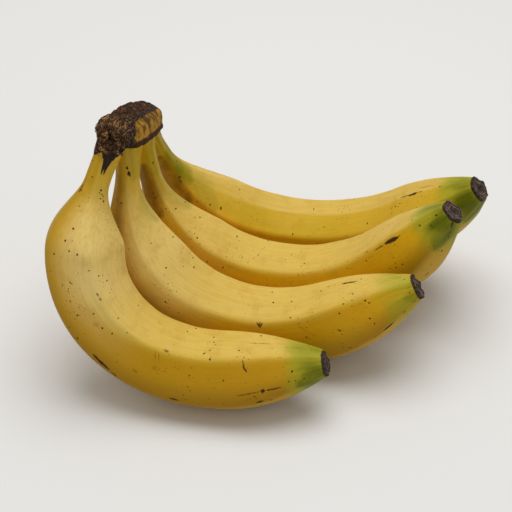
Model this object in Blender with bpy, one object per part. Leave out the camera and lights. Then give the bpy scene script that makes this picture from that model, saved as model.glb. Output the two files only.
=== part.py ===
"""A hand of four ripe bananas, cut from the stalk at its crown.

Metres, +Z up. The hand lies on the outer curves of its fingers, with the hollow sides up.
The fingers lie side by side along Y, their tips point to +X and the crown stands up at -X.
The origin is on the surface that carries the hand, under the middle of its box.
"""
import math

import bmesh
import bpy
from mathutils import Matrix, Vector

MM = 0.001
GAP = 0.35 * MM                # between a neck and its pocket in the crown

# Sizes that the four fingers share.
TIP_RADIUS = 6.2 * MM
TIP_TAPER = 48 * MM            # length over which a finger narrows to its tip
PEG_RADIUS = 3.9 * MM          # the end of a neck that sits inside the crown
PEG_LENGTH = 5.0 * MM
STUB_RADIUS = 5.0 * MM         # dried end of the flower
STUB_LENGTH = 6.0 * MM
BELLY_SINK = 1.2 * MM          # how far a resting finger flattens
FACES = 5                      # a banana has five faces, with a ridge between each two
FACE_PITCH = 2 * math.pi / FACES
RIDGE_SHARPNESS = 6.0
AROUND = 25                    # points around a finger, five to a face
STEPS = 216                    # small steps along a finger's centre line
RING_EVERY = 6
BEND_AT = (0.0, 0.12, 0.3, 0.5, 0.7, 0.88, 1.0)

# Where the middle of the hand's box lies in the frame that the fingers are measured in.
HAND_CENTRE = Vector((8.2, -1.4, 1.7)) * MM


class Finger:
    """One banana: where its neck starts, which way it heads, how it bends and how thick it is.

    bend is the turn towards the hollow side, in degrees a whole length, at the places in BEND_AT.
    sway is the turn to the side at the neck and at the tip. twist turns the ridges round it.
    neck_above is how far the straight neck runs up from its start to the crown.
    """

    def __init__(self, neck, neck_radius, heading, hollow_side, length, radius, shoulder_at, shoulder_length,
                 bend, sway, twist, neck_above):
        self.neck = Vector(neck) * MM - HAND_CENTRE
        self.neck_radius = neck_radius * MM
        self.heading = Vector(heading).normalized()
        self.hollow_side = Vector(hollow_side).normalized()
        self.length = length * MM
        self.radius = radius * MM
        self.shoulder_at = shoulder_at * MM
        self.shoulder_length = shoulder_length * MM
        self.bend = [math.radians(value) for value in bend]
        self.sway = [math.radians(value) for value in sway]
        self.twist = [math.radians(value) for value in twist]
        self.neck_above = neck_above * MM


FINGERS = {
    "finger_1": Finger(
        neck=(-66.8, -17.5, 121.4), neck_radius=5.8,
        heading=(-0.369, -0.255, -0.894), hollow_side=(0.912, -0.286, -0.295),
        length=201, radius=17.1, shoulder_at=13, shoulder_length=38,
        bend=(9, 68, 211, 211, 139, 45, -37), sway=(-18, -6), twist=(38, -10), neck_above=6.5),
    "finger_2": Finger(
        neck=(-57.9, -3.0, 111.9), neck_radius=5.2,
        heading=(-0.094, -0.130, -0.987), hollow_side=(0.977, -0.202, -0.066),
        length=212, radius=17.0, shoulder_at=8, shoulder_length=54,
        bend=(23, 118, 193, 181, 164, 78, -34), sway=(-16, -2), twist=(50, -5), neck_above=8),
    "finger_3": Finger(
        neck=(-52.2, 15.6, 99.9), neck_radius=5.1,
        heading=(0.117, 0.094, -0.989), hollow_side=(0.984, -0.147, 0.102),
        length=224, radius=15.8, shoulder_at=15, shoulder_length=58,
        bend=(22, 117, 214, 197, 175, 97, -30), sway=(0, 7), twist=(30, -20), neck_above=10),
    "finger_4": Finger(
        neck=(-48.6, 34.0, 90.8), neck_radius=5.0,
        heading=(0.252, 0.363, -0.897), hollow_side=(0.961, -0.206, 0.186),
        length=226, radius=16.4, shoulder_at=13, shoulder_length=59,
        bend=(16, 109, 209, 190, 148, 78, -36), sway=(12, -9), twist=(28, -10), neck_above=11),
}

# The crown is a bar of stalk, given at its front end, its middle and its back end.
CROWN_FOOT = (
    Vector((-65.8, -25.0, 127.5)) * MM - HAND_CENTRE,
    Vector((-57.2, 2.5, 117.0)) * MM - HAND_CENTRE,
    Vector((-48.3, 32.5, 100.5)) * MM - HAND_CENTRE,
)
CROWN_TOP = (
    Vector((-63.0, -20.5, 139.5)) * MM - HAND_CENTRE,
    Vector((-58.3, 0.0, 135.6)) * MM - HAND_CENTRE,
    Vector((-50.5, 25.0, 122.5)) * MM - HAND_CENTRE,
)
CROWN_HALF_WIDTH = (6.8 * MM, 8.4 * MM, 7.4 * MM)
# Across and up, as shares of the half width and of the height, once round the section.
CROWN_SECTION = (
    (-0.78, 0.02), (-0.40, -0.05), (0.00, -0.07), (0.42, -0.06), (0.84, -0.02), (1.04, 0.09), (1.07, 0.30),
    (1.04, 0.52), (0.94, 0.70), (0.70, 0.84), (0.34, 0.94), (-0.10, 1.01), (-0.55, 0.99), (-0.88, 0.86),
    (-1.00, 0.58), (-1.00, 0.28), (-0.94, 0.10),
)
# Place along the crown, and the share of the full section there.
CROWN_STATIONS = (
    (0.00, 0.74), (0.03, 0.90), (0.10, 0.97), (0.22, 1.00), (0.36, 1.00), (0.50, 1.00), (0.66, 1.02),
    (0.82, 1.00), (0.94, 0.86), (1.00, 0.60),
)


def smooth_step(value):
    value = min(max(value, 0.0), 1.0)
    return value * value * (3.0 - 2.0 * value)


def bend_at(values, places, u):
    """The value at u on the broken line through the given places."""
    for k in range(len(places) - 1):
        if u <= places[k + 1]:
            share = (u - places[k]) / (places[k + 1] - places[k])
            return values[k] + (values[k + 1] - values[k]) * share
    return values[-1]


def centre_line(finger):
    """Points along the middle of a finger, each with its direction and its hollow side."""
    point = finger.neck.copy()
    ahead = finger.heading.copy()
    hollow = (finger.hollow_side - ahead * finger.hollow_side.dot(ahead)).normalized()
    step = finger.length / STEPS
    line = []
    for k in range(STEPS + 1):
        u = k / STEPS
        line.append((u, point.copy(), ahead.copy(), hollow.copy()))
        side = ahead.cross(hollow)
        turn = hollow * bend_at(finger.bend, BEND_AT, u) + side * bend_at(finger.sway, (0.0, 1.0), u)
        new_ahead = (ahead + turn / STEPS).normalized()
        point += (ahead + new_ahead) * (step / 2)
        hollow = (hollow - new_ahead * hollow.dot(new_ahead)).normalized()
        ahead = new_ahead
    return line


def girth(finger, u):
    """Radius of the body, from the thin neck over the shoulder to the taper at the tip."""
    along = u * finger.length
    swell = smooth_step((along - finger.shoulder_at) / finger.shoulder_length)
    body = finger.neck_radius + (finger.radius - finger.neck_radius) * swell
    left = min(max((finger.length - along) / TIP_TAPER, 0.0), 1.0)
    tip_share = TIP_RADIUS / finger.radius
    return body * (tip_share + (1.0 - tip_share) * (1.0 - (1.0 - left) ** 2))


def five_sided(angle):
    """Distance to a five-sided outline with soft corners, 1 at the middle of each face."""
    total = 0.0
    for k in range(FACES):
        total += max(math.cos(angle - k * FACE_PITCH), 0.0) ** RIDGE_SHARPNESS
    return total ** (-1.0 / RIDGE_SHARPNESS)


def ring(finger, place, radius, grow=0.0):
    """One section of a finger, rounder at the neck and at the tip."""
    u, point, ahead, hollow = place
    side = ahead.cross(hollow)
    faced = smooth_step((u - 0.02) / 0.22) * (0.45 + 0.55 * smooth_step((1.0 - u) / 0.14))
    roll = finger.twist[0] + (finger.twist[1] - finger.twist[0]) * u
    points = []
    for k in range(AROUND):
        angle = 2 * math.pi * k / AROUND + FACE_PITCH / 2
        reach = radius * (1.0 + faced * (five_sided(angle) - 1.0)) + grow
        out = hollow * math.cos(angle + roll) + side * math.sin(angle + roll)
        points.append(point + out * reach)
    return points


def through(values, share):
    """The smooth curve through three values at the start, the middle and the end."""
    start, middle, end = values
    return (start * ((1 - share) * (1 - 2 * share)) + middle * (4 * share * (1 - share))
            + end * (share * (2 * share - 1)))


def moved_back(place, distance):
    u, point, ahead, hollow = place
    return (u, point - ahead * distance, ahead, hollow)


def loft(name, rings):
    """A closed solid over a row of rings, with a fan of faces on a middle point at each end."""
    mesh = bpy.data.meshes.new(name)
    bm = bmesh.new()
    rows = [[bm.verts.new(point) for point in points] for points in rings]
    for near, far in zip(rows, rows[1:]):
        for k in range(len(near)):
            after = (k + 1) % len(near)
            bm.faces.new((near[k], near[after], far[after], far[k]))
    for row in (rows[0], rows[-1]):
        middle = Vector((0.0, 0.0, 0.0))
        for vert in row:
            middle += vert.co
        hub = bm.verts.new(middle / len(row))
        for k in range(len(row)):
            bm.faces.new((row[k], row[(k + 1) % len(row)], hub))
    bmesh.ops.recalc_face_normals(bm, faces=bm.faces)
    bmesh.ops.triangulate(bm, faces=bm.faces)
    bm.to_mesh(mesh)
    bm.free()
    mesh.shade_smooth()
    mesh.set_sharp_from_angle(angle=math.radians(40))
    return bpy.data.objects.new(name, mesh)


def make_material(name, colour, roughness):
    material = bpy.data.materials.new(name)
    material.use_nodes = True
    principled = material.node_tree.nodes["Principled BSDF"]
    principled.inputs["Base Color"].default_value = (*colour, 1.0)
    principled.inputs["Roughness"].default_value = roughness
    principled.inputs["Metallic"].default_value = 0.0
    return material


for old in list(bpy.data.objects):
    bpy.data.objects.remove(old)

hand = bpy.data.collections.new("banana_hand")
bpy.context.scene.collection.children.link(hand)
cutters = bpy.data.collections.new("cutters")
bpy.context.scene.collection.children.link(cutters)

# The fingers. Each ends in the hard dry stub of its flower, a little thinner than the tip.
neck_cutters = []
for name, finger in FINGERS.items():
    line = centre_line(finger)
    neck = (
        (finger.neck_above + PEG_LENGTH, PEG_RADIUS * 0.94),
        (finger.neck_above + 0.5 * MM, PEG_RADIUS),
        (finger.neck_above, finger.neck_radius),
    )
    rings = [ring(finger, moved_back(line[0], above), radius) for above, radius in neck]
    places = [line[k] for k in range(0, STEPS, RING_EVERY)]
    for place in places[:-1]:
        rings.append(ring(finger, place, girth(finger, place[0])))
    end = line[-1]
    collar = moved_back(end, STUB_LENGTH / 2)
    rings.append(ring(finger, collar, girth(finger, end[0] - 0.5 * STUB_LENGTH / finger.length)))
    rings.append(ring(finger, moved_back(end, 0.4 * STUB_LENGTH), STUB_RADIUS))
    rings.append(ring(finger, moved_back(end, -0.28 * STUB_LENGTH), STUB_RADIUS * 0.94))
    rings.append(ring(finger, moved_back(end, -0.4 * STUB_LENGTH), STUB_RADIUS * 0.70))
    for points in rings:
        for point in points:
            point.z = max(point.z - BELLY_SINK, 0.0)
    banana = loft(name, rings)
    banana.data.materials.append(make_material(name + "_peel", (0.56, 0.36, 0.045), 0.45))
    hand.objects.link(banana)

    pocket = [ring(finger, moved_back(line[0], above + GAP), radius, GAP) for above, radius in neck]
    for place in line[0:19:6]:
        pocket.append(ring(finger, place, girth(finger, place[0]), GAP))
    for points in pocket:
        for point in points:
            point.z -= BELLY_SINK
    cutter = loft(name + "_pocket", pocket)
    cutter.hide_render = True
    cutter.display_type = "WIRE"
    cutters.objects.link(cutter)
    neck_cutters.append(cutter)

# The crown, with a pocket for each neck.
crown_rings = []
for place, share in CROWN_STATIONS:
    foot = through(CROWN_FOOT, place)
    top = through(CROWN_TOP, place)
    middle = (foot + top) / 2
    up = top - foot
    along = CROWN_FOOT[2] - CROWN_FOOT[0]
    across = along.cross(Vector((0.0, 0.0, 1.0))).normalized() * through(CROWN_HALF_WIDTH, place)
    points = []
    for aside, height in CROWN_SECTION:
        points.append(middle + (across * aside + up * (height - 0.5)) * share)
    crown_rings.append(points)
crown = loft("crown", crown_rings)
crown.location.z = -BELLY_SINK
crown.data.materials.append(make_material("crown_stalk", (0.12, 0.07, 0.03), 0.85))
hand.objects.link(crown)
for cutter in neck_cutters:
    cut = crown.modifiers.new(cutter.name, "BOOLEAN")
    cut.operation = "DIFFERENCE"
    cut.object = cutter
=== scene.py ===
"""A hand of four ripe bananas with its cut crown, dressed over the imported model's frame.

Metres, +Z up, in the frame of the CAD model. The hand lies on a pale floor at z = 0.
"""
import math
import random

import bpy
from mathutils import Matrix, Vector, noise


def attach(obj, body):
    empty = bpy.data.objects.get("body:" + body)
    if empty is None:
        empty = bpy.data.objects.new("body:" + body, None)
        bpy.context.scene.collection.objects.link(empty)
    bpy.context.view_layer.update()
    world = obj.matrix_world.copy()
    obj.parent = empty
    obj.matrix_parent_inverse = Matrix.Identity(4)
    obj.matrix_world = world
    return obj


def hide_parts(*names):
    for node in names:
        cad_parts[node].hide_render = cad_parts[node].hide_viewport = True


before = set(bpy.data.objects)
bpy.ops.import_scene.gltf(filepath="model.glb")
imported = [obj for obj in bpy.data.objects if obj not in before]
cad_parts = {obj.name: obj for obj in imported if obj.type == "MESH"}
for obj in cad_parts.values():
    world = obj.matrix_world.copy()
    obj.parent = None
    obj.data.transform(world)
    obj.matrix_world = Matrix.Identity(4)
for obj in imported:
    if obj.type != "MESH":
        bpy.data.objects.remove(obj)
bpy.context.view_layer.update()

# The fingers. Each is one whole ripe fruit in its own thick waxy peel, with five faces and a soft
# ridge between each two. They grew out of one stalk, so their necks run up into the crown, and
# the hand lies on the outer curves of all four, a little flattened where they carry it.
MM = 0.001
HAND_CENTRE = Vector((8.2, -1.4, 1.7)) * MM
BELLY_SINK = 1.2 * MM

# The five faces: how crisp the ridges are, how far out a flat face would lie, over the radius, how
# much further out a round section would lie, and how far the faces bulge from the one to the other.
FACES = 5
FACE_PITCH = 2 * math.pi / FACES
RIDGE_SHARPNESS = 18.0
FACE_DEPTH = 0.98
ROUND_DEPTH = 1.06
FACE_BULGE = 0.35

# Places along a finger, 0 at the neck and 1 at the tip, where its bend, sway and twist are given,
# and between which the turn of its faces fades out.
BEND_PLACES = (0.0, 0.12, 0.3, 0.5, 0.7, 0.88, 1.0)
SWAY_PLACES = (0.0, 1.0)
TWIST_PLACES = (0.0, 0.5, 1.0)
FACE_TURN_FADES = (0.45, 0.85)

# The two ends: how thin the tip is and over what length it tapers, slants towards its longer side
# and gathers, and how far the neck is lined and how it flares inside the crown.
TIP_RADIUS = 6.2 * MM
TIP_TAPER = 48 * MM
SLANT_LENGTH = 14 * MM
LONGER_SIDE = Vector((0.0, -0.74, 0.67))
GATHER_LENGTH = 24 * MM
NECK_LINES_LENGTH = 34 * MM
NECK_FLARE = 0.16
NECK_FLARE_LENGTH = 8 * MM

# Steps along a finger, points round it, and how far apart the patterns of two fingers are taken.
STEPS = 216
AROUND_PEEL = 120
SEED_STEP = Vector((0.31, 0.17, 0.11))


def on_hand(spot):
    """A spot of the hand, given in millimetres as it was measured, in metres round the model's middle."""
    return Vector(spot) * MM - HAND_CENTRE


class Finger:
    """One banana: where its neck starts, which way it heads, how it bends and how thick it is.

    Lengths are in millimetres. The neck starts to swell at shoulder_at and reaches the full radius
    shoulder_length further on. bend, sway and twist are in degrees, and bend and sway are what the
    whole length would turn at that rate, towards the hollow side and sideways. neck_above is how
    far the neck goes on inside the crown, slant how far the tip is cut aslant, and face_turn how
    many degrees the five faces are turned over the first part of the finger.
    """

    def __init__(self, neck, neck_radius, heading, hollow_side, length, radius, shoulder_at,
                 shoulder_length, bend, sway, twist, neck_above, slant=0.0, face_turn=0):
        self.neck = on_hand(neck)
        self.neck_radius = neck_radius * MM
        self.heading = Vector(heading).normalized()
        self.hollow_side = Vector(hollow_side).normalized()
        self.length = length * MM
        self.radius = radius * MM
        self.shoulder_at = shoulder_at * MM
        self.shoulder_length = shoulder_length * MM
        self.bend = [math.radians(value) for value in bend]
        self.sway = [math.radians(value) for value in sway]
        self.twist = [math.radians(value) for value in twist]
        self.neck_above = neck_above * MM
        self.slant = slant
        self.face_turn = math.radians(face_turn)


FINGERS = {
    "finger_1": Finger(
        neck=(-66.8, -17.5, 121.4), neck_radius=5.8,
        heading=(-0.369, -0.255, -0.894), hollow_side=(0.912, -0.286, -0.295),
        length=197.5, radius=17.4, shoulder_at=13, shoulder_length=34,
        bend=(9, 68, 206, 211, 139, 42, -45), sway=(-18, -2), twist=(38, 14, 0),
        neck_above=6.5),
    "finger_2": Finger(
        neck=(-57.9, -3.0, 111.9), neck_radius=5.6,
        heading=(-0.094, -0.130, -0.987), hollow_side=(0.977, -0.202, -0.066),
        length=207.8, radius=17.3, shoulder_at=11, shoulder_length=52,
        bend=(23, 118, 190, 181, 162, 62, -70), sway=(-16, 2), twist=(50, 15, -5),
        neck_above=8, slant=0.2),
    "finger_3": Finger(
        neck=(-52.2, 15.6, 99.9), neck_radius=5.3,
        heading=(0.117, 0.094, -0.989), hollow_side=(0.984, -0.147, 0.102),
        length=222.5, radius=16.0, shoulder_at=15, shoulder_length=58,
        bend=(22, 117, 211, 197, 173, 80, -70), sway=(0, 9), twist=(30, 5, -20),
        neck_above=10, slant=0.25, face_turn=7),
    "finger_4": Finger(
        neck=(-48.6, 34.0, 90.8), neck_radius=5.0,
        heading=(0.252, 0.363, -0.897), hollow_side=(0.961, -0.206, 0.186),
        length=224.3, radius=16.6, shoulder_at=13, shoulder_length=59,
        bend=(16, 109, 209, 190, 146, 66, -66), sway=(12, -7), twist=(28, 9, -10),
        neck_above=17, slant=0.36, face_turn=7),
}


def smooth_step(value):
    value = min(max(value, 0.0), 1.0)
    return value * value * (3.0 - 2.0 * value)


def value_at(values, places, at):
    """The value on the broken line that runs through values at the given places."""
    for k in range(len(places) - 1):
        if at <= places[k + 1]:
            share = (at - places[k]) / (places[k + 1] - places[k])
            return values[k] + (values[k + 1] - values[k]) * share
    return values[-1]


def centre_line(finger):
    """Points along the middle of a finger, each with its direction and its hollow side."""
    point = finger.neck.copy()
    ahead = finger.heading.copy()
    hollow = (finger.hollow_side - ahead * finger.hollow_side.dot(ahead)).normalized()
    step = finger.length / STEPS
    line = []
    for k in range(STEPS + 1):
        u = k / STEPS
        line.append((u, point.copy(), ahead.copy(), hollow.copy()))
        side = ahead.cross(hollow)
        turn = hollow * value_at(finger.bend, BEND_PLACES, u) + side * value_at(finger.sway, SWAY_PLACES, u)
        new_ahead = (ahead + turn / STEPS).normalized()
        point += (ahead + new_ahead) * (step / 2)
        hollow = (hollow - new_ahead * hollow.dot(new_ahead)).normalized()
        ahead = new_ahead
    return line


def girth(finger, u):
    """Radius of the body, from the thin neck over the shoulder to the taper at the tip."""
    along = u * finger.length
    swell = smooth_step((along - finger.shoulder_at) / finger.shoulder_length)
    body = finger.neck_radius + (finger.radius - finger.neck_radius) * swell
    left = min(max((finger.length - along) / TIP_TAPER, 0.0), 1.0)
    tip_share = TIP_RADIUS / finger.radius
    return body * (tip_share + (1.0 - tip_share) * (1.0 - (1.0 - left) ** 2))


def five_sided(angle):
    """Distance to a five-sided outline with crisp ridges and bulging faces, 1 at a face's middle."""
    total = 0.0
    for k in range(FACES):
        total += max(math.cos(angle - k * FACE_PITCH), 0.0) ** RIDGE_SHARPNESS
    flat = total ** (-1.0 / RIDGE_SHARPNESS)
    return FACE_DEPTH * (flat + (ROUND_DEPTH - flat) * FACE_BULGE)


def slanted(finger, along, out, reach):
    """How much further along a point lies because the finger ends on a slant, longer on one side."""
    at_tip = smooth_step(1.0 - (finger.length - along) / SLANT_LENGTH)
    return finger.slant * at_tip * out.dot(LONGER_SIDE) * reach


def from_ridge(angle):
    """Angle to the nearest ridge, 0 on the ridge and half a face's pitch at the middle of a face."""
    return abs((angle % FACE_PITCH) - FACE_PITCH / 2)


def peel_relief(finger, along, angle, faced, where):
    """How far the peel stands proud of the plain form: ridges, gathers at the tip, lines on the neck."""
    ridge = math.exp(-(math.degrees(from_ridge(angle)) / 5.0) ** 2)
    height = 0.25 * MM * ridge * faced * (0.7 + 0.9 * noise.noise(where * 60))
    height += 0.30 * MM * noise.noise(where * 38)
    height += 0.07 * MM * noise.noise(where * 150)
    at_tip = smooth_step(1.0 - (finger.length - along) / GATHER_LENGTH)
    gather = math.cos(10 * angle + 2.2 * noise.noise(where * 90)) * 0.16
    gather += math.cos(23 * angle + 3.0 * noise.noise(where * 120)) * 0.09
    height += at_tip * gather * MM
    on_neck = 1.0 - smooth_step(along / NECK_LINES_LENGTH)
    height += on_neck * 0.16 * MM * math.cos(9 * angle + 3.0 * noise.noise(where * 70))
    return height


def skin(name, rows, places, cuff=False):
    """A closed mesh over rows of points, with a fan of faces on a hub at each end.

    A cuff has no ends: its last row joins its first. places holds each point's place on the
    straightened piece, which its finish reads.
    """
    count = len(rows[0])
    points = [point for row in rows for point in row]
    marks = [place for row in places for place in row]
    faces = []
    for r in range(len(rows) if cuff else len(rows) - 1):
        for k in range(count):
            after = (k + 1) % count
            near = r * count
            far = (r + 1) % len(rows) * count
            faces.append((near + k, near + after, far + after, far + k))
    for r in () if cuff else (0, len(rows) - 1):
        hub = len(points)
        points.append(sum(rows[r], Vector()) / count)
        marks.append(sum(places[r], Vector()) / count)
        for k in range(count):
            after = (k + 1) % count
            start = r * count
            faces.append((start + after, start + k, hub) if r == 0 else (start + k, start + after, hub))
    mesh = bpy.data.meshes.new(name)
    mesh.from_pydata(points, [], faces)
    middle = sum(points, Vector()) / len(points)
    swept = sum((face.center - middle).dot(face.normal) * face.area for face in mesh.polygons)
    if swept < 0:
        mesh.flip_normals()
    place = mesh.attributes.new("place", "FLOAT_VECTOR", "POINT")
    place.data.foreach_set("vector", [value for mark in marks for value in mark])
    mesh.shade_smooth()
    piece = bpy.data.objects.new(name, mesh)
    bpy.context.scene.collection.objects.link(piece)
    return piece


def peel_rows(finger, seed):
    """Rows of points over a finger from inside the crown to the lip round its dry stub."""
    line = centre_line(finger)
    lip = finger.length - 0.7 * MM
    above = int(finger.neck_above / MM)
    # Each station is a distance along, a share of the full girth, and a step of the centre line
    # where it has one: the rounded end and the neck in the crown, the body, and the rolled lip.
    stations = [(-finger.neck_above - 0.6 * MM, 0.5, None), (-finger.neck_above, 0.92, None)]
    for k in range(above):
        stations.append((-finger.neck_above * (above - k) / (above + 1), 1.0, None))
    for k in range(STEPS + 1):
        if k / STEPS * finger.length < lip - 0.3 * MM:
            stations.append((k / STEPS * finger.length, 1.0, k))
    for past_lip, share in ((0.0, 1.0), (0.45 * MM, 0.965), (0.6 * MM, 0.90), (0.3 * MM, 0.82)):
        stations.append((lip + past_lip, share, None))
    fade_from, fade_to = FACE_TURN_FADES
    rows = []
    places = []
    for along, share, k in stations:
        if along < 0:
            u, point, ahead, hollow = line[0]
            point = point + ahead * along
        elif k is None:
            u, point, ahead, hollow = line[-1]
            point = point + ahead * (along - finger.length)
            u = lip / finger.length
        else:
            u, point, ahead, hollow = line[k]
        side = ahead.cross(hollow)
        radius = girth(finger, u) * share * (1.0 + NECK_FLARE * smooth_step(-along / NECK_FLARE_LENGTH))
        faced = smooth_step((u - 0.02) / 0.22) * (0.45 + 0.55 * smooth_step((1.0 - u) / 0.14))
        roll = value_at(finger.twist, TWIST_PLACES, u)
        face_turn = finger.face_turn * (1.0 - smooth_step((u - fade_from) / (fade_to - fade_from)))
        row = []
        place = []
        for j in range(AROUND_PEEL):
            angle = 2 * math.pi * j / AROUND_PEEL
            straight = Vector((along, math.cos(angle) * radius, math.sin(angle) * radius))
            reach = radius * (1.0 + faced * (five_sided(angle + face_turn) - 1.0))
            reach += peel_relief(finger, along, angle + face_turn, faced, straight + seed) * share
            out = hollow * math.cos(angle + roll) + side * math.sin(angle + roll)
            spot = point + out * reach + ahead * slanted(finger, along, out, reach)
            spot.z = max(spot.z - BELLY_SINK, 0.0)
            row.append(spot)
            place.append(straight)
        rows.append(row)
        places.append(place)
    return rows, places


class Value:
    """A socket in a finish, so that shader maths is written as plain expressions."""

    def __init__(self, finish, socket):
        self.finish = finish
        self.socket = socket

    def __add__(self, other):
        return self.finish.math("ADD", self, other)

    def __radd__(self, other):
        return self.finish.math("ADD", other, self)

    def __sub__(self, other):
        return self.finish.math("SUBTRACT", self, other)

    def __rsub__(self, other):
        return self.finish.math("SUBTRACT", other, self)

    def __mul__(self, other):
        return self.finish.math("MULTIPLY", self, other)

    def __rmul__(self, other):
        return self.finish.math("MULTIPLY", other, self)

    def __pow__(self, other):
        return self.finish.math("POWER", self, other)

    def most(self, other):
        return self.finish.math("MAXIMUM", self, other)

    def from_to(self, low, high):
        """0 at low and below, 1 at high and above, smooth between. low may be the higher number."""
        return self.finish.node("MapRange", {"interpolation_type": "SMOOTHSTEP"},
                                {"Value": self, "From Min": low, "From Max": high})


class Finish:
    """A procedural material. It adds the nodes of one finish and holds its shader."""

    def __init__(self, name):
        self.material = bpy.data.materials.new(name)
        self.material.use_nodes = True
        self.tree = self.material.node_tree
        self.shader = self.tree.nodes["Principled BSDF"]

    def node(self, kind, settings, sockets, output=0):
        """Adds a node: first its settings, then the values or links of its sockets."""
        made = self.tree.nodes.new("ShaderNode" + kind)
        for name, value in settings.items():
            setattr(made, name, value)
        self.fill(made, sockets)
        return Value(self, made.outputs[output])

    def fill(self, node, sockets):
        """Sets or links a node's sockets. What is the same everywhere is set on the socket itself."""
        for name, value in sockets.items():
            socket = node.inputs[name]
            if isinstance(value, Value):
                self.tree.links.new(value.socket, socket)
            elif socket.type == "RGBA":
                socket.default_value = (*value, 1.0)
            else:
                socket.default_value = value

    def place(self):
        """The point on the straightened piece, in metres."""
        return self.node("Attribute", {"attribute_name": "place"}, {}, "Vector")

    def math(self, operation, *values):
        return self.node("Math", {"operation": operation}, dict(enumerate(values)))

    def parts(self, vector):
        return [self.node("SeparateXYZ", {}, {"Vector": vector}, axis) for axis in "XYZ"]

    def vectors(self, operation, *values, output="Vector"):
        return self.node("VectorMath", {"operation": operation}, dict(enumerate(values)), output)

    def stretch(self, vector, sizes):
        return self.vectors("MULTIPLY", vector, sizes)

    def drawn_out(self, vector, rate):
        """The vector with its first part slowed down, so that a pattern runs along the piece."""
        return self.stretch(vector, (rate, 1.0, 1.0))

    def length(self, vector):
        return self.vectors("LENGTH", vector, output="Value")

    def noise(self, vector, scale, detail, roughness, output="Fac"):
        return self.node("TexNoise", {}, {"Vector": vector, "Scale": scale, "Detail": detail,
                                          "Roughness": roughness}, output)

    def cells(self, vector, scale):
        return self.node("TexVoronoi", {}, {"Vector": vector, "Scale": scale})

    def mix(self, factor, colour_a, colour_b):
        return self.node("Mix", {"data_type": "RGBA"}, {0: factor, 6: colour_a, 7: colour_b}, 2)

    def along_line(self, vector, start, end, width):
        """Distance from the line between two spots, in widths. The line tapers towards its ends."""
        from_line = self.vectors("SUBTRACT", vector, start)
        way = end - start
        if way.length > 0.0001:
            share = self.vectors("DOT_PRODUCT", from_line, way / way.length_squared, output="Value")
            share = self.math("MINIMUM", share, 1.0).most(0.0)
            back = self.node("VectorMath", {"operation": "SCALE"}, {0: way, "Scale": share})
            from_line = self.vectors("SUBTRACT", from_line, back)
            width = (1.0 - (share * 2.0 - 1.0) ** 2.0 * 0.6) * width
        return self.math("DIVIDE", self.length(from_line), width)

    def bump(self, height, distance, strength):
        return self.node("Bump", {}, {"Height": height, "Distance": distance, "Strength": strength})


def paint(red, green, blue):
    """A colour as a painter's chart gives it, 0 to 255, made linear for the shader."""
    linear = []
    for value in (red, green, blue):
        linear.append(((value / 255 + 0.055) / 1.055) ** 2.4 if value > 10 else value / 3294)
    return tuple(linear)


# A pale painted sheen for the shoulders, standing in for a highlight.
PAINTED_SHEEN = paint(244, 214, 134)
# Pale gold of the hollow side, partly its own tone and partly painted light.
LIT_PALE_GOLD = paint(222, 190, 96)
GOLDEN = paint(210, 170, 46)
LEMON = paint(200, 166, 30)
OCHRE = paint(180, 126, 12)
# The ambers: the sides' deeper colour, partly their own and partly painted shade.
AMBER = paint(190, 138, 3)
DEEP_AMBER = paint(202, 148, 2)
BRIGHT_AMBER = paint(216, 162, 2)
# Olive brown of the underside, partly its own colour and partly painted shade.
OLIVE_BROWN = paint(128, 92, 4)
LEAF_GREEN = paint(92, 100, 0)
NECK_GREEN = paint(128, 128, 0)
PALE_GREEN = paint(158, 154, 34)
SPECK_BROWN = paint(58, 34, 10)
# Bruise brown, also the colour of painted shade between the necks.
BRUISE_AND_SHADE_BROWN = paint(92, 56, 14)

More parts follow.
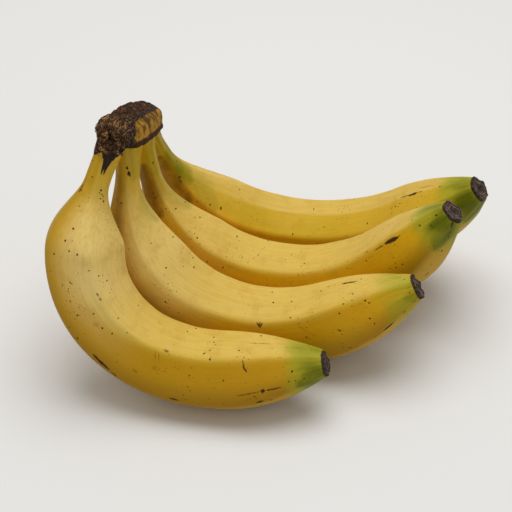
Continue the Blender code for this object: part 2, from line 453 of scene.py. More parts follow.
# Marks on each peel, from end to end: millimetres from the neck and degrees round at the one end,
# the same at the other, the width in millimetres, and how strong the mark is.
MARKS = {
    "finger_1": (
        (15, 17, 15, 17, 0.7, 0.9), (17, 9, 17.5, 7, 0.6, 0.9), (18, 1, 18, 1, 0.6, 0.8),
        (20, -4, 20.5, -4, 0.8, 1), (19, 11, 19, 11, 0.5, 0.8), (16.5, 20, 16.5, 20, 0.5, 0.7),
        (10, 74, 10.5, 74, 0.6, 0.8),
        (18.5, 102, 19, 103, 0.8, 0.9), (44, 56, 44, 56, 0.7, 0.9), (57.5, 73, 59, 69, 0.5, 0.8),
        (68, 73, 72, 63, 0.35, 0.5), (74, 81, 74, 81, 0.7, 0.9), (80, 64, 82, 62, 2.4, 0.25),
        (92, 101, 101, 104, 0.9, 1), (102, 105, 105, 106, 0.5, 0.8), (114, 39, 116, 51, 0.5, 0.4),
        (116, 40, 118, 50, 0.5, 0.4), (117, 62, 118, 64, 2.0, 0.3), (109, 81, 111, 83, 1.2, 0.35),
        (144, 20, 144, 20, 0.6, 0.9), (145, 36, 145, 36, 0.6, 0.9), (162, 38, 162.5, 47, 0.9, 0.5),
        (162, 45, 163.5, 56, 0.6, 1), (164, 0, 175, -1, 0.5, 0.5), (176, 14, 176, 14, 0.5, 0.8),
        (169, 91, 170.5, 92, 1.4, 1), (158, 92, 168, 92, 0.6, 0.6), (171, 92, 178.5, 95, 0.6, 0.7),
        (166, 109, 169.5, 109, 0.8, 1), (172.5, 114, 172.5, 114, 0.8, 1), (182, 88, 182, 88, 0.6, 0.9),
        (185, 91, 185, 91, 0.5, 0.9), (189, 94, 189, 94, 0.6, 0.9), (128, 104, 132, 104, 0.6, 0.8)),
    "finger_2": (
        (4.5, 34, 5.5, 31, 0.8, 1), (6.8, 26, 9.2, 21, 1.1, 1), (125.5, 37, 127.5, 42, 0.7, 0.8),
        (127, 36, 128, 45, 0.6, 0.8), (129, 38, 127, 42, 0.7, 0.7), (149.5, 46, 157, 67, 0.4, 0.8),
        (71, -30, 71, -30, 0.6, 0.9), (75.5, -18, 75.5, -18, 0.7, 0.9), (131.5, -23, 131.5, -23, 0.6, 0.8),
        (133.5, 0, 133.5, 0, 0.7, 0.9), (167, -17, 189, -10, 0.6, 0.5), (175, -14, 183, -12, 0.9, 0.9),
        (181.5, 23, 182.5, 22, 0.6, 0.8), (176.5, 24, 177, 24, 0.5, 0.8), (181, 115, 194, 118, 0.7, 0.8),
        (187, 117, 192.5, 118, 1.2, 1), (185.5, 78, 185.5, 78, 0.6, 0.9), (186, 91, 186.5, 91, 0.6, 0.9),
        (169, 70, 170.5, 74, 0.6, 0.8), (170.5, 105, 170.5, 105, 0.6, 0.8),
        (205.5, 112, 205.5, 112, 0.5, 0.9), (198.5, 119, 200, 116, 0.6, 0.9),
        (205.5, 73, 205.5, 73, 0.5, 0.8)),
    "finger_3": (
        (181, 41, 199, 45, 0.7, 0.7), (189.5, 42, 197.5, 45, 1.3, 1), (185.5, 0, 185.5, 0, 0.5, 0.8),
        (187, -3, 187.5, -3, 0.5, 0.8), (189, -4, 189, -4, 0.5, 0.7), (191.5, -6, 191.5, -6, 0.5, 0.8),
        (180, 7, 180, 7, 0.5, 0.8), (218, 51, 219, 52, 0.8, 1), (215, 49, 215, 49, 0.5, 0.9),
        (209.5, 50, 210.5, 51, 0.5, 0.8), (219, 129, 222.5, 116, 0.8, 0.9), (214.5, 139, 215, 139, 0.8, 1),
        (217, 133, 217, 133, 0.5, 0.9), (206.5, 145, 206.5, 145, 0.7, 0.9), (187.5, 79, 188, 79, 0.7, 0.9),
        (190.5, 89, 190.5, 89, 0.6, 0.8), (186, 86, 187, 86, 0.5, 0.8), (188, 154, 191, 154, 0.7, 1),
        (53, -22, 53, -22, 0.8, 0.9), (6, 8, 6, 8, 0.7, 0.9), (26.5, 56, 26.5, 56, 0.7, 0.8)),
    "finger_4": (
        (183, -8, 199, -6, 0.6, 0.7), (189.5, -6, 194.5, -6, 1.0, 1), (196, -16, 204, -15, 0.4, 0.5),
        (180.5, 7, 180.5, 7, 0.7, 0.9), (183.5, 4, 183.5, 4, 0.5, 0.8), (208, -6, 210, -6, 0.6, 0.7),
        (57.5, 17, 58.5, 17, 1.3, 0.7), (19, -21, 20, -20, 1.3, 0.5), (26.5, 22, 28, 24, 1.4, 0.6)),
}
# Green that is left on each peel, given the same way. Up to NECK_GREEN_TO it is a yellower green.
NECK_GREEN_TO = 100
GREENS = {
    "finger_1": ((24, -30, 62, -28, 6, 0.2), (187, 104, 200, 110, 9, 0.9)),
    "finger_2": ((-8, 0, 10, -6, 9, 0.3), (20, -40, 36, -34, 7, 0.4), (204, 84, 212, 92, 8, 0.4)),
    "finger_3": ((-8, 0, 14, 0, 9, 0.4), (18, -12, 44, -34, 8, 0.4), (215, 76, 226, 80, 8, 0.95),
                 (208, 122, 222, 118, 8, 0.8)),
    "finger_4": ((-10, -6, 12, -8, 8, 0.6), (8, -10, 26, -8, 7, 0.75), (22, -10, 34, 2, 8, 0.75),
                 (32, -14, 54, 20, 11, 0.35), (214, 70, 228, 80, 9, 0.95), (212, 120, 224, 126, 9, 0.85)),
}
# Painted shade in the hollows between the necks, partly brown staining, given the same way.
SHADE_AND_STAINS = {
    "finger_1": (),
    "finger_2": ((4, 76, 40, 72, 5, 0.5),),
    "finger_3": ((6, 62, 36, 60, 6, 0.7),),
    "finger_4": ((8, 44, 42, 48, 6, 0.7),),
}
# How the peels differ: the colour of the finger's sides, partly their own and partly painted shade, how
# far the paler hollow side, partly painted light, spreads round the shoulder, how strong the painted sheen
# is there, which also weakens the painted shade, how green the tip is, and the sine of the angle round the
# finger at which the painted lit side ends. A sine never reaches NO_EDGE.
NO_EDGE = 2.0
LOOKS = {
    "finger_1": {"shaded_amber": AMBER, "lit_reach": 0.25, "shoulder_sheen": 0.75, "tip_green": 1.0, "lit_to": NO_EDGE},
    "finger_2": {"shaded_amber": DEEP_AMBER, "lit_reach": 0.15, "shoulder_sheen": 0.55, "tip_green": 0.6,
                 "lit_to": NO_EDGE},
    "finger_3": {"shaded_amber": BRIGHT_AMBER, "lit_reach": 0.0, "shoulder_sheen": 0.15, "tip_green": 1.05,
                 "lit_to": NO_EDGE},
    "finger_4": {"shaded_amber": BRIGHT_AMBER, "lit_reach": -0.15, "shoulder_sheen": 0.1, "tip_green": 1.05,
                 "lit_to": -0.1},
}
# How far a ragged edge wanders along and across the finger, in metres.
RAGGED = (0.0022, 0.0016, 0.0016)


def peel_spot(finger, along, degrees):
    """The place on the straightened peel at so many millimetres from the neck and degrees round."""
    radius = girth(finger, min(max(along * MM / finger.length, 0.0), 1.0))
    angle = math.radians(degrees)
    return Vector((along * MM, math.cos(angle) * radius, math.sin(angle) * radius))


def peel_finish(name, finger, seed, marks, greens, shade_and_stains, shaded_amber, lit_reach, shoulder_sheen, tip_green, lit_to):
    """Waxy yellow peel: lengthwise fibres, brown specks, bruised ridges, green at the neck and tip.
    Its tones also carry painted light and shade: a lit, paler hollow side, a painted sheen on the
    shoulders, painted shade on the sides and between the necks, and painted bounce light underneath.
    """
    peel = Finish(name)
    place = peel.place()
    shifted = peel.vectors("ADD", place, seed)
    along, to_hollow, to_side = peel.parts(place)
    left = finger.length - along
    angle = peel.math("ARCTAN2", to_side, to_hollow)
    fade_from, fade_to = [share * finger.length for share in FACE_TURN_FADES]
    angle = angle + along.from_to(fade_to, fade_from) * finger.face_turn
    ridge = peel.math("COSINE", angle * FACES) * -0.5 + 0.5

    def from_mark(vector, near, near_turn, far, far_turn, width):
        """Distance of a place from a mark on this peel, in widths of the mark."""
        start = peel_spot(finger, near, near_turn)
        end = peel_spot(finger, far, far_turn)
        return peel.along_line(vector, start, end, width * MM)

    # Lemon and gold in soft clouds. The hollow side is paler, partly its own tone and partly painted light;
    #     the sides turn amber to olive brown, partly their own colour and partly painted shade; the lowest
    #     faces turn golden again with painted bounce light.
    cloud = peel.noise(shifted, 26.0, 3.0, 0.55)
    patch = peel.noise(shifted, 95.0, 3.0, 0.6)
    fibre = peel.noise(peel.drawn_out(shifted, 0.06), 900.0, 3.0, 0.6)
    colour = peel.mix(cloud.from_to(0.35, 0.65), LEMON, GOLDEN)
    # How far each point faces the hollow side, which lies uppermost, steers the painted light and shade     below. It is raised on the side facing away from the front, so that side gets less painted shade,     and on some shoulders, where the lit pale side reaches further.
    to_front = peel.math("SINE", angle)
    turned_in = peel.math("COSINE", angle) + patch * 0.10 - 0.05
    turned_in = turned_in + to_front.from_to(-0.2, -0.8) * 0.4
    turned_in = turned_in + along.from_to(120 * MM, 50 * MM) * lit_reach
    off_neck = along.from_to(8 * MM, 48 * MM) * 0.75 + 0.25
    # Painted light: the hollow side turns pale gold where it faces up, partly its own paler tone, up to     the angle where the lit side ends.
    on_lit_face = to_front.from_to(lit_to + 0.06, lit_to - 0.04)
    colour = peel.mix(turned_in.from_to(0.70, 0.92) * 0.75 * off_neck * on_lit_face, colour, LIT_PALE_GOLD)
    # Painted shade: the sides turn amber, partly their own deeper colour. Near the shoulder its edge is     sharper, and the shoulder sheen weakens it.
    edge = along.from_to(90 * MM, 40 * MM) * 0.45
    shade = 0.8 - along.from_to(90 * MM, 30 * MM) * shoulder_sheen * 0.55
    colour = peel.mix((turned_in + edge * (turned_in - 0.75)).from_to(0.85, 0.66) * shade, colour, shaded_amber)
    # Painted shade further round, olive brown, partly the belly's own colour.
    colour = peel.mix(turned_in.from_to(0.35, -0.30) * shade * 0.75, colour, OLIVE_BROWN)
    # Painted bounce light from the floor: the lowest faces turn golden again.
    colour = peel.mix(turned_in.from_to(-0.30, -0.65) * 0.6, colour, GOLDEN)
    # Painted sheen: a pale wash on the shoulders of the hollow side, standing in for a highlight.
    sheen_on_shoulders = along.from_to(8 * MM, 36 * MM) * along.from_to(115 * MM, 60 * MM) * turned_in.from_to(-0.1, 0.8)
    colour = peel.mix(sheen_on_shoulders * (cloud.from_to(0.3, 0.7) * 0.5 + 0.5) * shoulder_sheen, colour, PAINTED_SHEEN)
    colour = peel.mix(patch.from_to(0.48, 0.75) * 0.25, colour, OCHRE)
    colour = peel.mix(fibre.from_to(0.35, 0.75) * 0.22, colour, OCHRE)

    # Green that has not ripened yet, in streaks from the stub and down the neck, paler along the ridges.
    streak = peel.noise(peel.drawn_out(shifted, 0.22), 210.0, 2.0, 0.5)
    tip = left.from_to(24 * MM, 5 * MM) * (streak.from_to(0.25, 0.7) * 0.4 + 0.7) * tip_green
    colour = peel.mix(tip.from_to(0.05, 0.75) * 0.85, colour, PALE_GREEN)
    colour = peel.mix((tip * (1.1 - ridge * 0.4)).from_to(0.55, 1.1) * 0.5, colour, LEAF_GREEN)
    for *ends_and_width, strength in greens:
        green = from_mark(place, *ends_and_width).from_to(1.1, 0.1) * (streak.from_to(0.1, 0.6) * 0.5 + 0.5)
        unripe = NECK_GREEN if ends_and_width[0] < NECK_GREEN_TO else LEAF_GREEN
        colour = peel.mix(green * strength, colour, unripe)
    # Painted shade in the hollows between the necks, partly brown staining.
    for *ends_and_width, strength in shade_and_stains:
        shade_and_stain = from_mark(place, *ends_and_width).from_to(1.2, 0.1) * (patch.from_to(0.35, 0.6) * 0.4 + 0.6)
        colour = peel.mix(shade_and_stain * strength, colour, BRUISE_AND_SHADE_BROWN)

    # Specks, tiny and sharp everywhere, larger ones here and there, and the marks of this fruit.
    # All are laid out on a place that wanders a little, so that their edges are ragged.
    wander = peel.vectors("SUBTRACT", peel.noise(shifted, 800.0, 5.0, 0.7, "Color"), (0.5, 0.5, 0.5))
    ragged = peel.vectors("MULTIPLY_ADD", wander, RAGGED, place)
    fine = peel.cells(ragged, 520.0)
    coarse = peel.cells(ragged, 170.0)
    thin_out = peel.noise(shifted, 75.0, 2.0, 0.6)
    dark = fine.from_to(0.20, 0.10) * thin_out.from_to(0.46, 0.66) * 0.8
    dark = dark.most(coarse.from_to(0.10, 0.06) * thin_out.from_to(0.36, 0.52))
    for *ends_and_width, strength in marks:
        dark = dark.most(from_mark(ragged, *ends_and_width).from_to(1.1, 0.3) * strength)

    # Ridges rubbed and bruised in short runs.
    rubbed = peel.noise(peel.drawn_out(shifted, 0.35), 150.0, 3.0, 0.65)
    bruise = (ridge ** 20.0) * rubbed.from_to(0.63, 0.72) * 0.6
    colour = peel.mix(bruise.most(dark * 0.75).from_to(0.0, 0.55) * 0.8, colour, BRUISE_AND_SHADE_BROWN)
    colour = peel.mix(dark.from_to(0.45, 1.0) * 0.9, colour, SPECK_BROWN)

    pores = peel.noise(shifted, 2600.0, 2.0, 0.5)
    height = pores * 0.25 + fibre * 0.55 + patch * 0.6 - dark * 0.4
    peel.fill(peel.shader, {
        "Base Color": colour,
        "Roughness": 0.44 + dark * 0.25 + patch * 0.12,
        "Normal": peel.bump(height, 0.00035, 0.55),
        "IOR": 1.3,
        "Specular IOR Level": 0.3,
    })
    return peel.material


for number, (name, finger) in enumerate(FINGERS.items(), 1):
    seed = SEED_STEP * number
    banana = skin(f"banana_{number}", *peel_rows(finger, seed))
    peel = peel_finish(f"banana_peel_{number}", finger, seed, MARKS[name], GREENS[name], SHADE_AND_STAINS[name],
                       **LOOKS[name])
    banana.data.materials.append(peel)
    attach(banana, "root")
    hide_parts(name)

# The dry stubs. Each is what is left of the flower at the end of a finger: a short hard plug of
# shrivelled tissue, nearly black, with a hollow in its end. It grows out of the peel's lip.

# Its profile from inside the tip to the bottom of the hollow: millimetres past the tip, and radius.
STUB_PROFILE = (
    (-2.8, 4.4), (-2.0, 5.2), (-1.2, 5.7), (-0.4, 5.95), (0.2, 5.95), (0.8, 5.9), (1.2, 5.8), (1.5, 5.6),
    (1.7, 5.25), (1.65, 4.9), (1.35, 4.5), (1.15, 4.1), (1.25, 3.7), (1.45, 3.3), (1.35, 2.8), (1.0, 2.3),
    (0.55, 1.7), (0.35, 1.1), (0.3, 0.6),
)
AROUND_STUB = 72
STUB_BLACK = paint(34, 21, 15)
STUB_BROWN = paint(80, 54, 38)
STUB_PALE = paint(150, 122, 98)


def stub_rows(finger, seed):
    """Rows of points over one crinkled stub, from inside the tip round its rim to its hollow."""
    end, ahead, hollow = centre_line(finger)[-1][1:]
    side = ahead.cross(hollow)
    roll = finger.twist[-1]
    rows = []
    places = []
    for along, radius in STUB_PROFILE:
        row = []
        place = []
        for j in range(AROUND_STUB):
            angle = 2 * math.pi * j / AROUND_STUB
            straight = Vector((along * MM, math.cos(angle) * radius * MM, math.sin(angle) * radius * MM))
            wobble = noise.noise(straight * 260 + seed * 40)
            fold = -math.cos(FACES * angle) * 0.25 + math.cos(14 * angle + 4 * wobble) * 0.18 + wobble * 0.6
            reach = (radius + fold * min(radius / 5.0, 1.0)) * MM
            out = hollow * math.cos(angle + roll) + side * math.sin(angle + roll)
            ragged = 0.9 * noise.noise(straight * 300 + seed * 70) if along > 0 else 0.0
            beyond = (along + ragged) * MM + slanted(finger, finger.length, out, reach)
            spot = end + out * reach + ahead * beyond
            spot.z = max(spot.z - BELLY_SINK, 0.0)
            row.append(spot)
            place.append(straight)
        rows.append(row)
        places.append(place)
    return rows, places


def stub_finish():
    """Shrivelled black tissue, with pale torn rings on its end."""
    stub = Finish("dry_stub")
    place = stub.place()
    grain = stub.noise(stub.drawn_out(place, 0.25), 900.0, 4.0, 0.65)
    lumps = stub.noise(place, 420.0, 3.0, 0.6)
    from_middle = stub.length(stub.drawn_out(place, 0.0)) + lumps * 0.0012 - 0.0006
    rings = stub.math("SINE", from_middle * 6200.0 + grain * 3.0)
    within_rim = from_middle.from_to(5.7 * MM, 5.1 * MM)
    off_hollow = from_middle.from_to(1.6 * MM, 2.6 * MM)
    ring = rings.from_to(0.1, 0.9) * within_rim * off_hollow
    colour = stub.mix(grain.from_to(0.40, 0.75), STUB_BLACK, STUB_BROWN)
    colour = stub.mix(ring * lumps.from_to(0.35, 0.6) * 0.85, colour, STUB_PALE)
    stub.fill(stub.shader, {
        "Base Color": colour,
        "Roughness": 0.78 + grain * 0.15,
        "Normal": stub.bump(grain * 0.6 + lumps * 0.6, 0.0006, 0.9),
    })
    return stub.material


dry_stub = stub_finish()
for number, finger in enumerate(FINGERS.values(), 1):
    stub = skin(f"stub_{number}", *stub_rows(finger, SEED_STEP * number))
    stub.data.materials.append(dry_stub)
    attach(stub, "root")

# The crown. It is the bar of stalk that the whole hand was cut from: torn and fibrous at its front
# end, cut and dried to a dark skin on top, and tan with brown streaks on the side of the fingers.

# Its under edge, its top edge and half its width, at the torn front end, the middle and the back.
CROWN_FOOT = (on_hand((-65.8, -25.0, 127.5)), on_hand((-57.2, 2.5, 117.0)), on_hand((-51.3, 34.8, 100.0)))
CROWN_TOP = (on_hand((-63.0, -20.5, 139.5)), on_hand((-58.3, 0.0, 133.2)), on_hand((-48.9, 27.6, 119.4)))
CROWN_HALF_WIDTH = (6.8 * MM, 8.4 * MM, 7.4 * MM)
# Once round its section: aside in half widths, towards the fingers, and height from under to top edge.
CROWN_SECTION = (
    (-0.78, 0.02), (-0.40, -0.05), (0.00, -0.07), (0.42, -0.06), (0.84, -0.02), (1.04, 0.09), (1.07, 0.30),
    (1.04, 0.52), (0.94, 0.70), (0.70, 0.84), (0.34, 0.94), (-0.10, 1.01), (-0.55, 0.99), (-0.88, 0.86),
    (-1.00, 0.58), (-1.00, 0.28), (-0.94, 0.10),
)
# How large the section is at places along the crown, 0 at the front end and 1 at the back.
CROWN_PLACES = (0.00, 0.03, 0.10, 0.22, 0.36, 0.50, 0.66, 0.82, 0.93, 0.97, 1.00)
CROWN_SIZES = (0.74, 0.90, 0.97, 1.00, 1.00, 1.00, 1.02, 1.02, 0.98, 0.88, 0.62)
# How many millimetres higher the under edge runs on the side of the fingers, and at which places.
FOOT_LIFT_PLACES = (0.0, 0.05, 0.14, 0.24, 0.4, 0.6, 0.8, 1.0)
FOOT_LIFT = (0.0, 2.0, 2.6, 0.0, -1.4, -1.2, -0.4, 0.0)
# The place where the torn end gives way to the smooth side, and how it moves back with the height.
SIDE_FROM = 0.19
SIDE_SLOPE = 0.29
SLOPE_FROM = 0.41
CROWN_ROWS = 130
AROUND_CROWN = 190
CAP_ROWS = 22


def through(values, share):
    """The smooth curve through three values at the start, the middle and the end."""
    start, middle, end = values
    return (start * ((1 - share) * (1 - 2 * share)) + middle * (4 * share * (1 - share))
            + end * (share * (2 * share - 1)))


def section_at(turn):
    """A point on the crown's section, once round for turn 0 to 1, smooth through its corners."""
    count = len(CROWN_SECTION)
    at = turn * count
    k = int(at)
    share = at - k
    before, here, after, beyond = [Vector(CROWN_SECTION[(k + shift) % count]) for shift in (-1, 0, 1, 2)]
    pull_here = (after - before) / 2
    pull_after = (beyond - here) / 2
    rise = share * share * (3 - 2 * share)
    return (here * (1 - rise) + after * rise + pull_here * (share * (1 - share) ** 2)
            - pull_after * (share * share * (1 - share)))


def crown_rows():
    """Rows of points over the crown, with cap rows at both ends for the torn and the cut face."""
    stations = [(0.0, CROWN_SIZES[0] * (k + 1) / CAP_ROWS) for k in range(CAP_ROWS - 1)]
    for k in range(CROWN_ROWS + 1):
        place = k / CROWN_ROWS
        stations.append((place, value_at(CROWN_SIZES, CROWN_PLACES, place)))
    stations += [(1.0, CROWN_SIZES[-1] * (CAP_ROWS - 1 - k) / CAP_ROWS) for k in range(CAP_ROWS - 1)]
    rows = []
    places = []
    along = CROWN_FOOT[2] - CROWN_FOOT[0]
    sideways = along.cross(Vector((0.0, 0.0, 1.0))).normalized()
    for place, share in stations:
        foot = through(CROWN_FOOT, place)
        top = through(CROWN_TOP, place)
        middle = (foot + top) / 2
        across = sideways * through(CROWN_HALF_WIDTH, place)
        row = []
        marks = []
        for j in range(AROUND_CROWN):
            aside, height = section_at(j / AROUND_CROWN)
            aside = aside * share
            height = 0.5 + (height - 0.5) * share
            spot = middle + across * aside + (top - foot) * (height - 0.5)
            low = 1.0 - smooth_step(height / 0.55)
            inward = smooth_step((aside + 0.2) / 0.8)
            spot.z += value_at(FOOT_LIFT, FOOT_LIFT_PLACES, place) * low * inward * MM - BELLY_SINK
            row.append(spot)
            marks.append(Vector((place, aside, height)))
        rows.append(row)
        places.append(marks)
    return rows, places


def side_starts(height):
    """Place along the crown where the smooth side starts, further back towards the top."""
    return max(SIDE_FROM, SIDE_FROM + SIDE_SLOPE * (height - SLOPE_FROM))


def crown_relief(place, aside, height, spot):
    """How far the crown's surface stands out or in: torn fibres, grooves, grit and a rolled rim."""
    face = 1.0 - smooth_step(place / 0.04)
    torn = 1.0 - smooth_step((place - side_starts(height)) / 0.06)
    from_pit = math.hypot(aside + 0.12, (height - 0.60) * 1.2)
    arcs = math.sin(from_pit * 30 + 5.0 * noise.noise(spot * 160))
    relief = face * (0.45 * arcs + 0.9 * noise.noise(spot * 150) - 2.6 * math.exp(-(from_pit / 0.20) ** 2))
    relief += torn * (0.9 * noise.noise(spot * 330) + 0.55 * noise.noise(spot * 760))
    sunk = smooth_step((height - 0.70) / 0.15) * smooth_step((0.15 - aside) / 0.35)
    relief -= 0.7 * sunk * smooth_step((place - 0.14) / 0.22) * (1.0 - smooth_step((place - 0.58) / 0.05))
    flap = smooth_step((-aside - 0.35) / 0.3) * smooth_step((height - 0.45) / 0.25)
    relief += 0.9 * flap * (1.0 - smooth_step((place - 0.28) / 0.12))
    shards = smooth_step((height - 0.70) / 0.2) * (1.0 - smooth_step((place - 0.50) / 0.2))
    relief += shards * (2.2 * max(noise.noise(spot * 230 + Vector((3, 1, 7))), -0.15))
    fringe = smooth_step((-aside - 0.55) / 0.25) * torn
    relief += fringe * 1.8 * max(noise.noise(spot * 260 + Vector((9, 4, 2))), -0.1)
    on_top = smooth_step((height - 0.82) / 0.12) * (1.0 - torn)
    relief += on_top * (0.8 * noise.noise(spot * 380) + 0.45 * noise.noise(spot * 900))
    inner = smooth_step((aside - 0.55) / 0.3) * (1.0 - torn) * (1.0 - on_top)
    relief += inner * 0.5 * noise.noise(Vector((place * 12, height * 1.2, 3.0)))
    outer = smooth_step((-aside - 0.55) / 0.3) * (1.0 - torn) * (1.0 - on_top)
    relief += outer * 0.8 * noise.noise(Vector((place * 18, height * 2.5, 7.0)))
    rim = math.exp(-((height - 0.09) / 0.12) ** 2) * smooth_step((place - 0.14) / 0.08)
    relief += rim * (0.8 + 0.6 * noise.noise(spot * 260))
    return relief * MM


CROWN_DARK = paint(30, 18, 11)
CROWN_BROWN = paint(78, 46, 20)
CROWN_FIBRE = paint(178, 132, 74)
CROWN_TAN = paint(180, 134, 34)
CROWN_STREAK = paint(66, 34, 10)
CROWN_CUT = paint(112, 82, 56)
CROWN_RIM = paint(66, 34, 10)


def crown_finish():
    """Dry stalk: dark torn fibres in front, a grey-brown cut on top and a tan, streaked inner side."""
    stalk = Finish("crown_stalk")
    place = stalk.place()
    along, aside, height = stalk.parts(place)
    where = stalk.node("TexCoord", {}, {}, "Object")
    grit = stalk.noise(where, 900.0, 4.0, 0.65)
    lumps = stalk.noise(where, 330.0, 4.0, 0.6)
    strands = stalk.noise(stalk.stretch(where, (1.0, 1.0, 0.25)), 1300.0, 3.0, 0.65)

    dark = stalk.mix(lumps.from_to(0.38, 0.66), CROWN_DARK, CROWN_BROWN)
    torn = stalk.mix(strands.from_to(0.56, 0.74) * 0.7, dark, CROWN_FIBRE)
    bevel = stalk.mix(grit.from_to(0.45, 0.72), CROWN_DARK, CROWN_CUT)
    stripes = stalk.noise(stalk.stretch(place, (15.0, 0.0, 2.4)), 1.0, 4.0, 0.65) + height * 0.22 - 0.11
    dashes = stalk.noise(stalk.stretch(place, (70.0, 0.0, 4.0)), 1.0, 3.0, 0.65)
    side = stalk.mix(stripes.from_to(0.42, 0.64) * 0.9, CROWN_TAN, CROWN_STREAK)
    side = stalk.mix(dashes.from_to(0.55, 0.70) * 0.6, side, CROWN_STREAK)
    side = stalk.mix(grit.from_to(0.5, 0.8) * 0.5, side, CROWN_BROWN)
    rim = stalk.mix(grit.from_to(0.4, 0.75), CROWN_RIM, CROWN_DARK)

    edge = lumps * 0.2 - 0.1
    colour = stalk.mix((height + edge).from_to(0.79, 0.83), side, bevel)
    colour = stalk.mix((aside + edge * 2.0).from_to(0.48, 0.36) * height.from_to(0.82, 0.86), colour, torn)
    colour = stalk.mix((height + edge * 0.7).from_to(0.27, 0.20), colour, rim)
    start = (height * SIDE_SLOPE + 0.074).most(SIDE_FROM)
    corner = (along + edge * 0.4 - start).from_to(0.02, -0.01)
    colour = stalk.mix(corner, colour, bevel)
    over = (aside + edge * 2.0).from_to(0.50, 0.38) * height.from_to(0.62, 0.72)
    over = over * aside.from_to(-0.95, -0.7)
    colour = stalk.mix((along + edge * 0.4).from_to(0.075, 0.03).most(over * corner), colour, torn)
    stalk.fill(stalk.shader, {
        "Base Color": colour,
        "Roughness": 0.82 + grit * 0.12,
        "Normal": stalk.bump(grit * 0.5 + strands * 0.6, 0.0007, 0.9),
        "Specular IOR Level": 0.2,
    })
    return stalk.material


crown = skin("crown_of_the_hand", *crown_rows())
mesh = crown.data
marks = [tuple(item.vector) for item in mesh.attributes["place"].data]
lifted = []
for vert, (place, aside, height) in zip(mesh.vertices, marks):
    lifted.append(vert.co + vert.normal * crown_relief(place, aside, height, vert.co))
for vert, spot in zip(mesh.vertices, lifted):
    vert.co = spot
mesh.update()
crown.data.materials.append(crown_finish())
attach(crown, "root")
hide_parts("crown")

# The loose fibres on the torn face. They are strands of the stalk that pulled out when the hand
# was broken off, dry and stiff, and they curl round the hollow in the middle of the face.

STRAND_COUNT = 240
STRAND_POINTS = 14
AROUND_STRAND = 5
STRAND_SMOOTHING = 9
LAST_STRAND_ROW = CAP_ROWS + 44
# How they lie: in arcs round the hollow, as spokes out of it, or combed back over the outer side.
# Each gives the range of the crown's row that a strand starts on, of the point in that row, of the
# points it runs round, of the rows it drifts, and of its thickness in millimetres.
LAYS = {
    "arc": ((8, CAP_ROWS + 3), (0, AROUND_CROWN), (9, 24), (-2, 2), (0.09, 0.19)),
    "spoke": ((5, 13), (0, AROUND_CROWN), (-5, 5), (7, 12), (0.09, 0.17)),
    "combed": ((CAP_ROWS - 4, CAP_ROWS + 24), (95, 165), (-6, 6), (9, 20), (0.09, 0.18)),
}
LAY_ORDER = ("arc", "arc", "spoke", "combed", "combed")


def strand_rows(ring, turn, reach, drift, thick):
    """Rows of points of one strand, laid on the front rows of the crown's own mesh."""
    verts = crown.data.vertices
    path = []
    for k in range(STRAND_POINTS):
        share = k / (STRAND_POINTS - 1)
        row = min(max(int(ring + drift * share), 1), LAST_STRAND_ROW)
        vert = verts[row * AROUND_CROWN + int(turn + reach * share) % AROUND_CROWN]
        rise = (0.05 + 0.55 * math.sin(math.pi * share)) * MM
        path.append((vert.co + vert.normal * rise, vert.normal.copy()))
    for smoothing in range(STRAND_SMOOTHING):
        spots = [spot for spot, lift in path]
        for k in range(1, STRAND_POINTS - 1):
            path[k] = ((spots[k - 1] + spots[k] * 2 + spots[k + 1]) / 4, path[k][1])
    rows = []
    places = []
    for k, (spot, lift) in enumerate(path):
        ahead = (path[min(k + 1, STRAND_POINTS - 1)][0] - path[max(k - 1, 0)][0]).normalized()
        side = ahead.cross(lift).normalized()
        up = side.cross(ahead)
        share = k / (STRAND_POINTS - 1)
        radius = thick * (0.25 + 0.75 * math.sin(math.pi * (0.06 + 0.88 * share))) * MM
        turns = [2 * math.pi * j / AROUND_STRAND for j in range(AROUND_STRAND)]
        rows.append([spot + (side * math.cos(a) + up * math.sin(a)) * radius for a in turns])
        places.append([Vector((share * 0.01, math.cos(a) * radius, math.sin(a) * radius)) for a in turns])
    return rows, places


def strand_finish():
    """Dry fibre, brown to straw."""
    strand = Finish("dry_strand")
    grain = strand.noise(strand.node("TexCoord", {}, {}, "Object"), 330.0, 3.0, 0.6)
    strand.fill(strand.shader, {
        "Base Color": strand.mix(grain.from_to(0.42, 0.66), CROWN_BROWN, CROWN_FIBRE),
        "Roughness": 0.8 + grain * 0.1,
    })
    return strand.material


dry_strand = strand_finish()
chance = random.Random(5)
strands = []
for number in range(STRAND_COUNT):
    lay = LAYS[LAY_ORDER[number % len(LAY_ORDER)]]
    strand = strand_rows(*[chance.uniform(low, high) for low, high in lay])
    strands.append(skin(f"strand_{number + 1}", *strand))
fibres = strands[0]
with bpy.context.temp_override(active_object=fibres, selected_editable_objects=strands):
    bpy.ops.object.join()
fibres.name = "torn_fibres"
fibres.data.materials.append(dry_strand)
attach(fibres, "root")

# The torn skin on the first neck. When the hand was broken off, the stalk's black dried skin
# stayed on the front finger's neck, and it ends in a ragged tongue and a few short points.

# How many millimetres down the neck it reaches, and at how many degrees round.
TORN_TURNS = (-180, -150, -110, -60, -15, 5, 15, 20, 24, 27, 30, 33, 36, 39,
              42, 45, 48, 52, 60, 68, 76, 90, 104, 116, 128, 150, 180)
TORN_REACH = (-2.5, -1.0, -2.6, -1.8, -3.4, -2.4, 0.2, 2.4, 5.0, 7.4, 6.2, 4.4, 5.4, 7.4,
              6.4, 4.4, 1.8, 0.4, -0.8, -2.6, -2.2, -0.6, 0.8, 0.2, -2.0, -0.8, -2.5)
# Where it starts, above the start of the neck, and the neck's radius there, in millimetres.
TORN_FROM = -6.0
TORN_NECK = 6
AROUND_TORN = 300
TORN_ROWS = 26
TORN_INSIDE_ROWS = 8
TORN_BLACK = paint(34, 20, 13)
TORN_BROWN = paint(76, 46, 24)


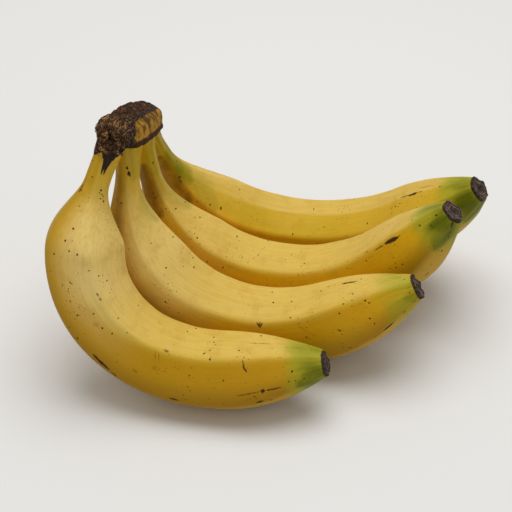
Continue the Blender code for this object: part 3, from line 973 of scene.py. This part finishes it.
def torn_rows(finger):
    """Rows of points down the outside of the torn skin, round its ragged edge and up its inside."""
    line = centre_line(finger)
    rows = []
    places = []
    shares = [(k / (TORN_ROWS - 1), 1.0) for k in range(TORN_ROWS)]
    shares += [(1.0 - k / TORN_INSIDE_ROWS, 0.0) for k in range(1, TORN_INSIDE_ROWS + 1)]
    for share, outside in shares:
        row = []
        place = []
        for j in range(AROUND_TORN):
            degrees = -180 + 360 * j / AROUND_TORN
            angle = math.radians(degrees)
            reach = value_at(TORN_REACH, TORN_TURNS, degrees)
            reach += 0.8 * noise.noise(Vector((degrees * 0.16, 2.0, 0.0)))
            reach += 0.4 * noise.noise(Vector((degrees * 0.5, 5.0, 0.0)))
            along = (TORN_FROM + (reach - TORN_FROM) * share) * MM
            k = min(max(round(along / finger.length * STEPS), 0), STEPS)
            u, point, ahead, hollow = line[k]
            point = point + ahead * (along - u * finger.length)
            side = ahead.cross(hollow)
            straight = Vector((along, math.cos(angle) * TORN_NECK * MM, math.sin(angle) * TORN_NECK * MM))
            thick = 0.65 - 0.35 * share ** 3 + 0.35 * noise.noise(straight * 500) * (1.0 - share * 0.6)
            radius = girth(finger, u) + (thick if outside else -0.35) * MM
            radius += peel_relief(finger, along, angle, 0.0, straight + SEED_STEP)
            out = hollow * math.cos(angle + finger.twist[0]) + side * math.sin(angle + finger.twist[0])
            spot = point + out * radius
            spot.z -= BELLY_SINK
            row.append(spot)
            place.append(straight)
        rows.append(row)
        places.append(place)
    return rows, places


def torn_finish():
    """Dried skin of the stalk, nearly black, with brown grain down the neck."""
    torn = Finish("torn_skin")
    grain = torn.noise(torn.drawn_out(torn.place(), 0.3), 900.0, 4.0, 0.65)
    torn.fill(torn.shader, {
        "Base Color": torn.mix(grain.from_to(0.5, 0.75), TORN_BLACK, TORN_BROWN),
        "Roughness": 0.72 + grain * 0.2,
        "Normal": torn.bump(grain, 0.0006, 0.8),
        "Specular IOR Level": 0.35,
    })
    return torn.material


torn_skin = skin("torn_skin", *torn_rows(FINGERS["finger_1"]), cuff=True)
torn_skin.data.materials.append(torn_finish())
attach(torn_skin, "root")

# The floor, the light and the camera. The floor is a plain pale sheet. One wide soft lamp hangs a
# metre up, a little behind the hand, and the room is bright all round, so the shadows stay faint.
FLOOR_REACH = 3
ROOM_BRIGHTNESS = 0.46
LAMP_SPOT = Vector((0.02, 0.10, 1.0))
LAMP_AIM = Vector((0.0, 0.0, 0.04))
LAMP_SIZE = 0.9
LAMP_POWER = 6.7
CAMERA_SPOT = (-0.0072, -0.7637, 0.6860)
CAMERA_LOOKS_DOWN = 40
CAMERA_LENS = 145

floor_mesh = bpy.data.meshes.new("floor")
corners = [(x * FLOOR_REACH, y * FLOOR_REACH, 0) for x, y in ((-1, -1), (1, -1), (1, 1), (-1, 1))]
floor_mesh.from_pydata(corners, [], [(0, 1, 2, 3)])
floor = bpy.data.objects.new("floor", floor_mesh)
bpy.context.scene.collection.objects.link(floor)
paper = Finish("floor_paper")
paper.fill(paper.shader, {"Base Color": paint(232, 231, 228), "Roughness": 0.9, "Specular IOR Level": 0.2})
floor_mesh.materials.append(paper.material)

room = bpy.data.worlds.new("room")
room.use_nodes = True
background = room.node_tree.nodes["Background"]
background.inputs["Color"].default_value = (1.0, 1.0, 1.0, 1.0)
background.inputs["Strength"].default_value = ROOM_BRIGHTNESS
bpy.context.scene.world = room

lamp = bpy.data.objects.new("window", bpy.data.lights.new("window", "AREA"))
lamp.data.shape = "DISK"
lamp.data.size = LAMP_SIZE
lamp.data.energy = LAMP_POWER
lamp.location = LAMP_SPOT
lamp.rotation_euler = (LAMP_AIM - LAMP_SPOT).to_track_quat("-Z", "Y").to_euler()
bpy.context.scene.collection.objects.link(lamp)

camera = bpy.data.objects.new("camera", bpy.data.cameras.new("camera"))
camera.location = CAMERA_SPOT
camera.rotation_euler = (math.radians(90 - CAMERA_LOOKS_DOWN), 0.0, 0.0)
camera.data.lens = CAMERA_LENS
camera.data.sensor_width = 36
bpy.context.scene.collection.objects.link(camera)
bpy.context.scene.camera = camera
bpy.context.scene.view_settings.view_transform = "Standard"
